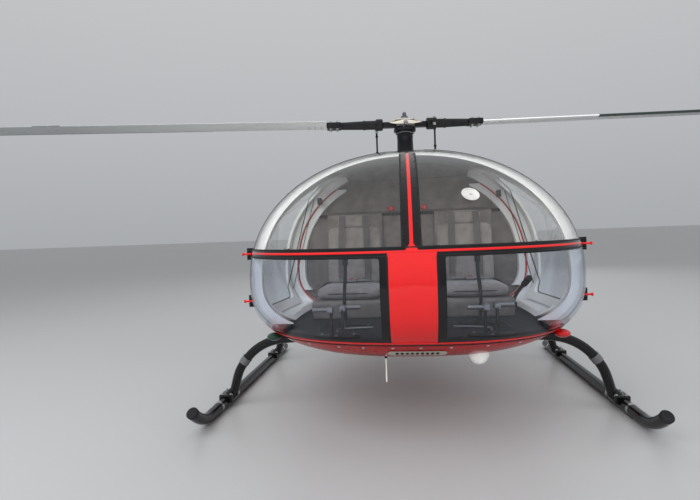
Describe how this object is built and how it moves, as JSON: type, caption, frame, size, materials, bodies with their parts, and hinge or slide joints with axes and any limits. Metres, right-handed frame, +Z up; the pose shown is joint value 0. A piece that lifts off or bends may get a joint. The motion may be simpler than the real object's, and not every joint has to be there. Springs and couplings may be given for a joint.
{
  "type": "light two-seat helicopter",
  "caption": "Light two-seat helicopter with a clear bubble cabin, hinged doors, a level two-blade rotor and a tail rotor, parked on arched skids.",
  "frame": {"origin": "on the ground under the middle of the overall length, on the centre plane", "axes": "+Z up, nose towards -Y, the pilot's left side towards +X"},
  "size_m": [7.5566, 6.564, 1.95],
  "materials": {
    "red_paint": "glossy red paint",
    "white_paint": "glossy white paint",
    "white_boom": "glossy white paint on a thin tube",
    "black_paint": "glossy black paint",
    "clear_glass": "clear moulded pane",
    "smoked_glass": "smoked moulded pane",
    "taupe_trim": "soft trim",
    "seat_cloth": "woven cloth",
    "carpet": "short charcoal pile",
    "satin_black": "satin black",
    "pedal_alloy": "machined",
    "engine_metal": "cast",
    "rotor_metal": "machined",
    "blade_paint": "satin white paint",
    "lamp_red": "clear red lens",
    "lamp_green": "clear green lens",
    "lamp_white": "frosted white lens"
  },
  "bodies": {
    "airframe": {"nose_panel": "red_paint", "belly_tub": "red_paint", "fin_upper": "red_paint", "roof_panel": "white_paint", "door_frame_left": "white_paint", "door_frame_right": "white_paint", "engine_cowl": "white_paint", "stabiliser": "white_paint", "fin_lower": "white_paint", "belly_antenna": "white_paint", "tail_boom": "white_boom", "waist_band": "black_paint", "centre_post": "black_paint", "skid_tube_left": "black_paint", "skid_tube_right": "black_paint", "cross_tube_front": "black_paint", "cross_tube_rear": "black_paint", "mast_housing": "black_paint", "tail_guard": "black_paint", "engine_bearers": "black_paint", "windshield_left": "clear_glass", "windshield_right": "clear_glass", "chin_window_left": "smoked_glass", "chin_window_right": "smoked_glass", "rear_wall": "taupe_trim", "seat_left": "seat_cloth", "seat_right": "seat_cloth", "cabin_floor": "carpet", "instrument_console": "satin_black", "cyclic_left": "satin_black", "cyclic_right": "satin_black", "collective_left": "satin_black", "collective_right": "satin_black", "pedals_left": "pedal_alloy", "pedals_right": "pedal_alloy", "engine_block": "engine_metal", "main_gearbox": "engine_metal", "tail_gearbox": "rotor_metal", "belly_vent": "rotor_metal", "navigation_lamp_left": "lamp_red", "navigation_lamp_right": "lamp_green", "landing_lamp": "lamp_white"},
    "door_left": {"door_left": "white_paint", "door_window_left": "clear_glass"},
    "door_right": {"door_right": "white_paint", "door_window_right": "clear_glass"},
    "main_rotor": {"rotor_mast_and_hub": "rotor_metal", "swashplate": "rotor_metal", "blade_grip_1": "satin_black", "blade_grip_2": "satin_black", "pitch_link_1": "satin_black", "pitch_link_2": "satin_black", "main_blade_1": "blade_paint", "main_blade_2": "blade_paint"},
    "tail_rotor": {"tail_rotor_hub": "rotor_metal", "tail_blade_1": "blade_paint", "tail_blade_2": "blade_paint"}
  },
  "joints": [
    {"name": "door_left_hinge", "type": "hinge", "parent": "airframe", "child": "door_left", "pos_m": [0.97, -2.6059, 0.7825], "axis": [0, 0, -1], "range_deg": [0, 75]},
    {"name": "door_right_hinge", "type": "hinge", "parent": "airframe", "child": "door_right", "pos_m": [-0.97, -2.6059, 0.7825], "axis": [0, 0, 1], "range_deg": [0, 75]},
    {"name": "main_rotor_spin", "type": "hinge", "parent": "airframe", "child": "main_rotor", "pos_m": [0, -1.7219, 1.86], "axis": [0, 0, 1], "continuous": true},
    {"name": "tail_rotor_spin", "type": "hinge", "parent": "airframe", "child": "tail_rotor", "pos_m": [0.19, 2.6981, 1.33], "axis": [1, 0, 0], "continuous": true}
  ],
  "couplings": [
    {"joint": "tail_rotor_spin", "follows": "main_rotor_spin", "ratio": 5}
  ]
}
